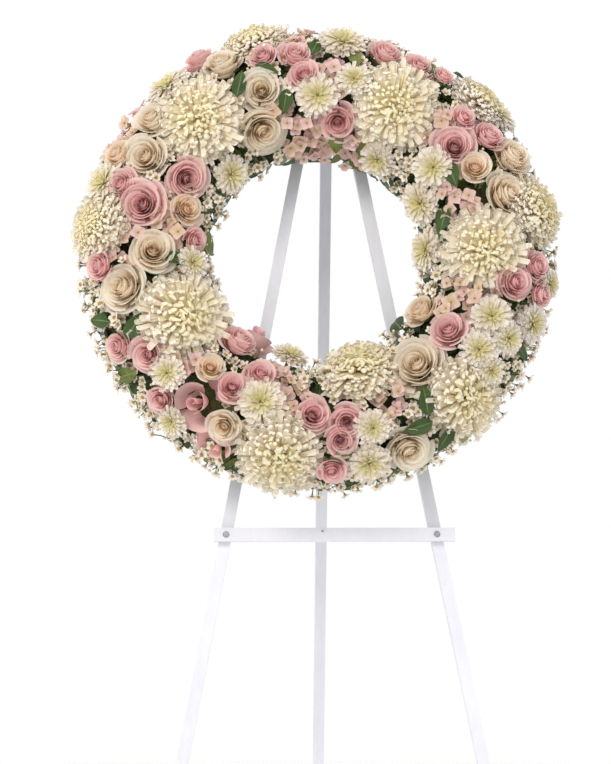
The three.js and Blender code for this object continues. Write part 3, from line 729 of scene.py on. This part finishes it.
def add_mum(sheets, bloom, kind, tone):
    """A chrysanthemum of either kind on its green cup and stem."""
    clock, reach, width = bloom
    rng = np.random.default_rng(seed_of(bloom))
    base = FACE_DISTANCE - width * kind["depth"]
    spin = rng.uniform(0, 2 * math.pi)
    place = head_seat(clock, reach, base, spin, rng.normal(0, 0.07, 2))
    points, age = mum_petals(width * MUM_SPREAD, kind, rng)
    sheets.add(points, place, 0, age, rng.random(len(age)), tone)
    r = width * 0.2
    cup = [[0.5, -1], [r * 0.6, 0], [r, width * 0.08], [r, width * 0.16], [0.5, width * 0.24]]
    sheets.add(lathe(cup, 10), place, 1, closed=True)
    add_stem(sheets, place, base)


# ---------------------------------------------------------------- building the greenery and fillers

BALL_MIDDLE = 0.26               # a head's middle below its face, as a share of its width
BALL_RADIUS = 0.47
SPOT_SPACING = 15.5
FILLER_DISTANCE = 82             # from the section's centre to the filler flowers
FILLER_TILTS = (-66, 76)         # degrees, from the hole's side to the outer side
FILLER_SEED = 11
PATCH_RADIUS = 36                # how far a patch of hydrangea reaches

CORE_DISTANCE = 66               # from the section's centre to the foliage and its leaves
CORE_TILT = 128                  # degrees each way, where the foliage meets the tray
CORE_ROUNDS = 288
CORE_STEPS = 30
LEAF_SPACING = 19
LEAF_TILTS = (-104, 108)
LEAF_SEED = 23
LEAF_FINISHES = ["dark", "olive", "pale"]
LEAF_SHARES = [0.6, 0.28, 0.12]
LEAF_PITCH = 0.25                # how far a leaf's tip is raised, in radians
SHOWN_LEAF_DISTANCE = 88


def bloom_balls():
    """Middle and radius of each head, for keeping fillers out of them."""
    balls = []
    for clock, reach, width in all_places():
        _, middle = head_seat(clock, reach, FACE_DISTANCE - width * BALL_MIDDLE)
        balls.append((*middle, width * BALL_RADIUS))
    return np.array(balls)


def free_spots(distance, spacing, tilts, seed):
    """Evenly scattered spots on the ring, as clock and tilt, that no bloom covers."""
    rng = np.random.default_rng(seed)
    balls = bloom_balls()
    spots = []
    low, high = tilts
    rows = int(distance * math.radians(high - low) / spacing)
    for k in range(rows):
        tilt = math.radians(low + (high - low) * (k + 0.5) / rows)
        round_length = 2 * math.pi * (RING_RADIUS + distance * math.sin(tilt))
        count = int(round_length / spacing)
        for m in range(count):
            clock = 360 * (m + 0.5 * (k % 2) + rng.uniform(-0.3, 0.3)) / count
            lean = tilt + rng.uniform(-0.3, 0.3) * spacing / distance
            _, place = seat(clock, lean, distance)
            gaps = np.linalg.norm(balls[:, :3] - place, axis=1) - balls[:, 3]
            if gaps.min() > 0:
                spots.append((clock % 360, lean, rng.integers(2 ** 31)))
    return spots


def flat_place(clock, reach):
    """A clock and a reach as x and y."""
    angle = math.radians(clock)
    return np.array([math.sin(angle), math.cos(angle)]) * reach


HYDRANGEA_PLACES = np.array([flat_place(*patch) for patch in HYDRANGEA_PATCHES])
WAXFLOWER_PLACES = np.array([flat_place(*patch) for patch in WAXFLOWER_PATCHES])


def nearest_kind(clock, tilt):
    """Which filler grows at a spot: that of the nearest patch."""
    here = flat_place(clock, RING_RADIUS + FACE_DISTANCE * math.sin(tilt))
    hydrangea = np.linalg.norm(HYDRANGEA_PLACES - here, axis=1).min()
    waxflower = np.linalg.norm(WAXFLOWER_PLACES - here, axis=1).min()
    return "hydrangea" if hydrangea < min(waxflower, PATCH_RADIUS) else "waxflower"


def add_waxflower(sheets, clock, tilt, seed):
    """A sprig's tip: three tiny flowers, or two and a bud, on thin stalks."""
    rng = np.random.default_rng(seed)
    for k in range(3):
        nod = rng.normal(0, 0.35, 2)
        offset = np.degrees(rng.normal(0, 6) / RING_RADIUS)
        place = seat(clock + offset, tilt + rng.normal(0, 0.07),
                     FILLER_DISTANCE + rng.uniform(-6, 8), rng.uniform(0, FULL_TURN), nod)
        tone = rng.random()
        if k == 2 and rng.random() < 0.6:
            bud = [[0.2, 0], [1.6, 1.0], [1.9, 2.4], [1.1, 3.8], [0.1, 4.2]]
            sheets.add(lathe(bud, 6), place, 3, closed=True)
        else:
            size = rng.uniform(0.85, 1.15)
            petals = whorl(5, 1.9 * size, 4.6 * size, 2.5 * size, 0.3, rng)
            sheets.add(petals, place, 0, 0.8, rng.random(5), tone * 0.6)
            cup = [[0.8, -3.2], [1.5, -1.4], [2.2 * size, 0.3], [1.5, 0.1], [0.5, 0.9], [0.05, 1.4]]
            sheets.add(lathe(cup, 7), place, 2, closed=True)
        stalk = [[0, 0, -26], [1.2, 0.6, -12], [0, 0, -2]]
        sheets.add(tube(stalk, [0.6, 0.6, 0.7], 4), place, 1, closed=True)


def add_hydrangea(sheets, clock, tilt, seed):
    """A four-petalled floret and a smaller one beside it."""
    rng = np.random.default_rng(seed)
    tone = np.clip(rng.normal(0.35, 0.35), 0, 1)
    for k in range(2):
        nod = rng.normal(0, 0.32, 2)
        offset = np.degrees(rng.normal(0, 5) / RING_RADIUS)
        place = seat(clock + offset, tilt + rng.normal(0, 0.05),
                     FILLER_DISTANCE + rng.uniform(-4, 9), rng.uniform(0, FULL_TURN), nod)
        size = rng.uniform(0.8, 1.1) * (1 if k == 0 else 0.75)
        petals = whorl(4, 0.6, 10.5 * size, 5.8 * size, rng.uniform(0.05, 0.3), rng, 5, 5)
        sheets.add(petals, place, 0, rng.uniform(0.3, 1, 4), rng.random(4), tone)
        sheets.add(lathe([[1.1, 0.2], [1.2, 1.0], [0.1, 1.7]], 6), place, 2, closed=True)
        stalk = [[0, 0, -24], [1.0, -0.8, -10], [0, 0, 0.3]]
        sheets.add(tube(stalk, [0.7, 0.6, 0.6], 4), place, 1, closed=True)


def add_leaf(sheets, clock, tilt, distance, heading, length, half, slot, rng):
    """A leaf whose tip points along its heading, 0 outwards and 90 clockwise, a little raised."""
    spin = math.radians(heading) - 0.5 * math.pi
    axes, origin = seat(clock, tilt, distance, -spin, rng.normal(0, 0.12, 2))
    level, rise = math.cos(LEAF_PITCH), math.sin(LEAF_PITCH)
    lift = np.array([[level, 0, -rise], [0, 1, 0], [rise, 0, level]])
    points = leaf_sheet(length, half, rng.uniform(0.15, 0.5), rng.uniform(-0.35, -0.05),
                        rng.normal(0, 0.25)) @ lift.T
    points = points - np.array([length * 0.35, 0, 0])
    sheets.add(points, (axes, origin), slot, 0.5, rng.random(), 0.5)


def lumps(clock, around):
    """Smooth uneven swelling of the foliage, in millimetres."""
    return (2.2 * np.sin(17 * clock + 2 * around) + 1.8 * np.sin(31 * clock - 3 * around + 1)
            + 1.5 * np.sin(53 * clock + 5 * around + 2) + 1.0 * np.sin(89 * clock - 7 * around))


def foliage_core():
    """The dark mass of stems and leaves round the tray, under the flowers; its dark colour is partly
    the greenery's own and partly painted shade in the gaps between the blooms.
    """
    clock = np.linspace(0, 2 * math.pi, CORE_ROUNDS, endpoint=False)[:, None]
    angle = np.radians(np.linspace(-CORE_TILT, CORE_TILT, CORE_STEPS))[None, :]
    distance = CORE_DISTANCE - 14 * np.abs(angle) / angle.max() + lumps(clock, angle)
    rho = RING_RADIUS + distance * np.sin(angle) * 1.12
    z = np.maximum(CORE_DEPTH + distance * np.cos(angle), BACK_DEPTH + 1)
    points = np.stack([rho * np.sin(clock), rho * np.cos(clock), z + 0 * rho], axis=-1)
    return np.concatenate([points, points[:1]])[None]


# ---------------------------------------------------------------- dressing the solids

IDENTITY = (np.eye(3), np.zeros(3))


def finish_piece(sheets, name, materials, slot, *nodes):
    """Builds a piece that rides with the stand, and the nodes that it replaces."""
    piece = sheets.build(name, materials)
    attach(piece, "stand")
    if nodes:
        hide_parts(*nodes)


def make_blooms(rows, label, add, materials, slot):
    """One piece for each packed bloom or spray, which it stands for."""
    for k, (places, tone) in enumerate(rows, 1):
        sheets = Sheets()
        for place in places:
            add(sheets, place, tone)
        finish_piece(sheets, f"{label}_{k}_petals", materials, slot, f"{label}_{k}")


def make_small_blooms(rows, label, add, materials, slot):
    """One piece for each bloom that has no solid."""
    for k, row in enumerate(rows, 1):
        sheets = Sheets()
        add(sheets, *row)
        finish_piece(sheets, f"{label}_{k}", materials, slot)


def add_large_mum(sheets, place, tone):
    add_mum(sheets, place, LARGE_MUM, tone)


def add_spray_mum(sheets, place, tone):
    add_mum(sheets, place, SPRAY_MUM, tone)


def add_open_rose(sheets, place, tone, petals):
    add_rose(sheets, place, tone, petals, 1.0)


def make_all_blooms():
    mums, sprays = [MUM_CREAM, STEM_GREEN], [SPRAY_WHITE, STEM_GREEN]
    creams, pinks = [ROSE_CREAM, STEM_GREEN], [ROSE_PINK, STEM_GREEN]
    make_blooms(LARGE_MUMS, "mum", add_large_mum, mums, "mum_petals")
    make_blooms(CREAM_ROSES, "cream_rose", add_rose, creams, "cream_petals")
    make_blooms(PINK_ROSES, "pink_rose", add_rose, pinks, "pink_petals")
    make_blooms(SPRAY_MUMS, "spray_mum", add_spray_mum, sprays, "spray_mum_petals")
    make_small_blooms(SMALL_PINK_ROSES, "small_pink_rose", add_rose, pinks, "pink_petals")
    make_small_blooms(SMALL_CREAM_ROSES, "small_cream_rose", add_rose, creams, "cream_petals")
    make_small_blooms(SMALL_SPRAYS, "small_spray", add_spray_mum, sprays, "spray_mum_petals")
    make_small_blooms(OPEN_ROSES, "open_rose", add_open_rose, [OPEN_PINK, STEM_GREEN], "pink_petals")


def make_fillers():
    """Waxflower and hydrangea in every gap between the blooms."""
    sheets = {"waxflower": Sheets(), "hydrangea": Sheets()}
    add = {"waxflower": add_waxflower, "hydrangea": add_hydrangea}
    for clock, tilt, seed in free_spots(FILLER_DISTANCE, SPOT_SPACING, FILLER_TILTS, FILLER_SEED):
        kind = nearest_kind(clock, tilt)
        add[kind](sheets[kind], clock, tilt, seed)
    finish_piece(sheets["waxflower"], "waxflower_sprigs",
                 [WAX_WHITE, STEM_GREEN, WAX_CUP, BUD_PALE], "spray_mum_petals")
    finish_piece(sheets["hydrangea"], "hydrangea_florets", [FLORET_MAUVE, STEM_GREEN, WAX_CUP],
                 "pink_petals")


def add_collar(leaves):
    """Leaves that point away from the ring's section, wherever no bloom covers it."""
    for clock, tilt, seed in free_spots(CORE_DISTANCE, LEAF_SPACING, LEAF_TILTS, LEAF_SEED):
        rng = np.random.default_rng(seed)
        heading = (0 if tilt > 0 else 180) + rng.normal(0, 45)
        slot = rng.choice(len(LEAF_SHARES), p=LEAF_SHARES)
        length, half = rng.uniform(24, 36), rng.uniform(6, 10)
        add_leaf(leaves, clock, tilt, CORE_DISTANCE, heading, length, half, slot, rng)


def add_shown_leaves(leaves):
    for clock, reach, heading, length, width, finish in SHOWN_LEAVES:
        rng = np.random.default_rng(clock * 1000 + reach)
        slot = LEAF_FINISHES.index(finish)
        clock, reach = up_the_slope(clock, reach)
        add_leaf(leaves, clock, tilt_of(reach), SHOWN_LEAF_DISTANCE, heading, length, width / 2,
                 slot, rng)


def make_foliage():
    """The dark core of greenery and painted shade, the collar of leaves round it and the single leaves
    that stand out.
    """
    core = Sheets()
    core.add(foliage_core(), IDENTITY, 0)
    finish_piece(core, "foliage_core", [GREENERY_AND_PAINTED_SHADE], "greenery", "greenery_bed")
    leaves = Sheets()
    add_collar(leaves)
    add_shown_leaves(leaves)
    finish_piece(leaves, "leaf_collar", [LEAF_DARK, LEAF_OLIVE, LEAF_PALE], "greenery")


def dress_frame():
    """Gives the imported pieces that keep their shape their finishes."""
    finishes = {
        PAINT: ["easel_leg_left", "easel_leg_right", "easel_leg_back", "easel_crossbar"],
        STEEL: ["crossbar_screw_left", "crossbar_screw_right", "crossbar_nail", "wreath_hook",
                "hinge_plate", "hinge_screw_left", "hinge_screw_right", "hinge_pin", "hanging_wire"],
        TRAY_GREEN: ["ring_tray"],
        FOAM_GREEN: ["foam_ring"],
    }
    for material, names in finishes.items():
        for name in names:
            for material_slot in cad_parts[name].material_slots:
                material_slot.material = material


# ---------------------------------------------------------------- stage, light and camera

CAMERA_DISTANCE = 4.0
VIEW_HEIGHT = 0.917              # what the longer side of the picture spans at the aim, in metres
SENSOR = 36.0
CAMERA_YAW = math.radians(1.9)
AIM = Vector((-0.0146, -0.215, 0.774))
FLOOR_RADIUS = 2.6
FLOOR_SIDES = 96
FLOOR_HEIGHT = -0.0005           # just under the feet


def make_camera():
    data = bpy.data.cameras.new("camera")
    data.sensor_width = SENSOR
    data.lens = SENSOR * CAMERA_DISTANCE / VIEW_HEIGHT
    camera = link(bpy.data.objects.new("camera", data))
    away = Vector((-math.sin(CAMERA_YAW), -math.cos(CAMERA_YAW), 0))
    camera.location = AIM + away * CAMERA_DISTANCE
    camera.rotation_euler = (math.pi / 2, 0, -CAMERA_YAW)
    bpy.context.scene.camera = camera


def make_floor():
    """A pale round floor with a faint texture."""
    mesh = bpy.data.meshes.new("studio_floor")
    angles = [2 * math.pi * k / FLOOR_SIDES for k in range(FLOOR_SIDES)]
    rim = [(FLOOR_RADIUS * math.cos(angle), FLOOR_RADIUS * math.sin(angle), FLOOR_HEIGHT)
           for angle in angles]
    mesh.from_pydata(rim, [], [list(range(FLOOR_SIDES))])
    mesh.materials.append(mottled_material("floor_white", srgb(250, 250, 250), srgb(246, 246, 246),
                                           6, 0.7, 0.02))
    link(bpy.data.objects.new("studio_floor", mesh))


def make_light(name, place, aim, size, power, colour):
    """A round lamp that faces a point."""
    data = bpy.data.lights.new(name, "AREA")
    data.shape = "DISK"
    data.size = size
    data.energy = power
    data.color = colour
    light = link(bpy.data.objects.new(name, data))
    light.location = place
    light.rotation_euler = (Vector(aim) - Vector(place)).to_track_quat("-Z", "Y").to_euler()


def make_lights():
    """A bright even room and one warm lamp at the upper left."""
    world = bpy.data.worlds.new("studio")
    bpy.context.scene.world = world
    world.use_nodes = True
    world.node_tree.nodes["Background"].inputs["Color"].default_value = (1, 1, 1, 1)
    world.node_tree.nodes["Background"].inputs["Strength"].default_value = 1.0
    make_light("key", (-1.4, -2.4, 2.6), (0, -0.15, 0.9), 1.2, 45, (1.0, 0.96, 0.9))
    bpy.context.scene.view_settings.view_transform = "Standard"


make_camera()
make_lights()
make_floor()
dress_frame()
make_all_blooms()
make_fillers()
make_foliage()
